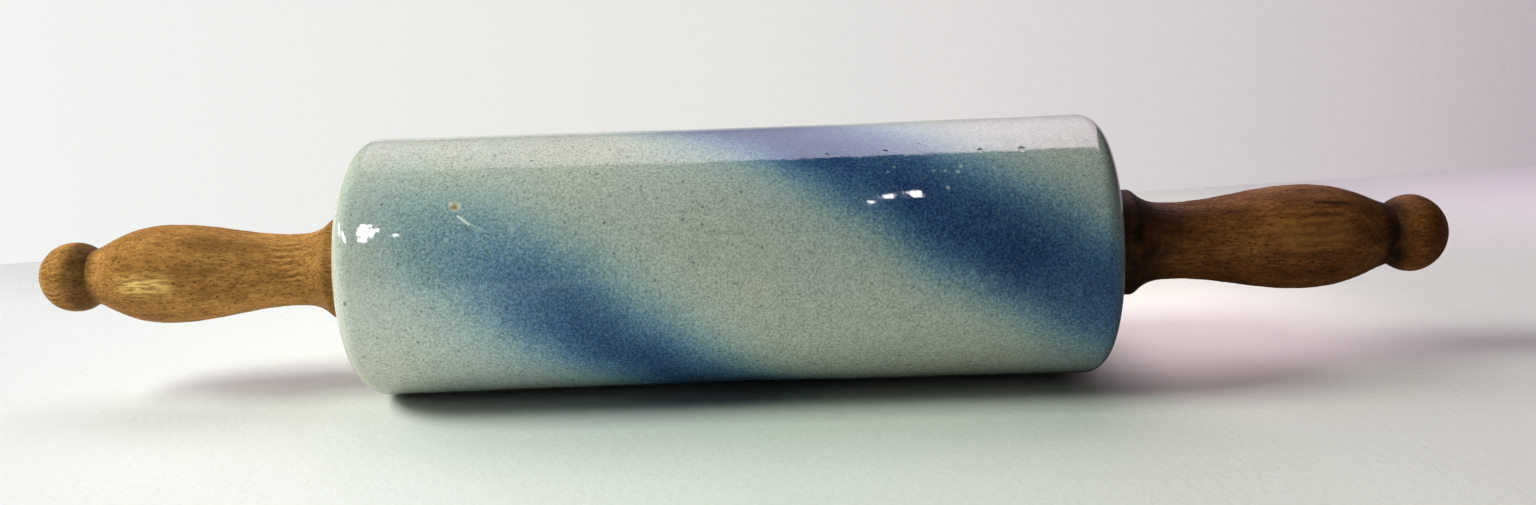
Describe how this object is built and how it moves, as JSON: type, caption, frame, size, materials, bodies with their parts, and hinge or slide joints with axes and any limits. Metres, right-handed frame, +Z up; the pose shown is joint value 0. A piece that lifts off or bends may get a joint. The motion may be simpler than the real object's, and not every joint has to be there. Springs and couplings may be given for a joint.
{
  "type": "rolling pin",
  "caption": "Rolling pin: a hollow glazed stoneware barrel turning freely on a wooden spindle between turned wooden handles with ball knobs.",
  "frame": {"origin": "centre of the overall box in X and Y, on the worktop under the barrel", "axes": "+X along the spindle towards the longer handle, +Z up from the worktop"},
  "size_m": [0.3926, 0.0718, 0.0719],
  "materials": {
    "glazed_stoneware": "glossy speckled grey-green glaze with sprayed blue slanting bands",
    "handle_wood": "aged brown turned hardwood, worn satin",
    "bush_wood": "bare turned hardwood",
    "spindle_wood": "bare planed hardwood",
    "pin_steel": "dull steel wire"
  },
  "bodies": {
    "barrel": {"barrel": "glazed_stoneware", "left_bush": "bush_wood", "right_bush": "bush_wood"},
    "spindle": {"spindle": "spindle_wood", "left_handle": "handle_wood", "right_handle": "handle_wood", "left_handle_pin": "pin_steel", "right_handle_pin": "pin_steel"}
  },
  "joints": [
    {"name": "spindle_turn", "type": "hinge", "parent": "barrel", "child": "spindle", "pos_m": [-0.0017, 0, 0.03594], "axis": [1, 0, 0], "continuous": true}
  ]
}
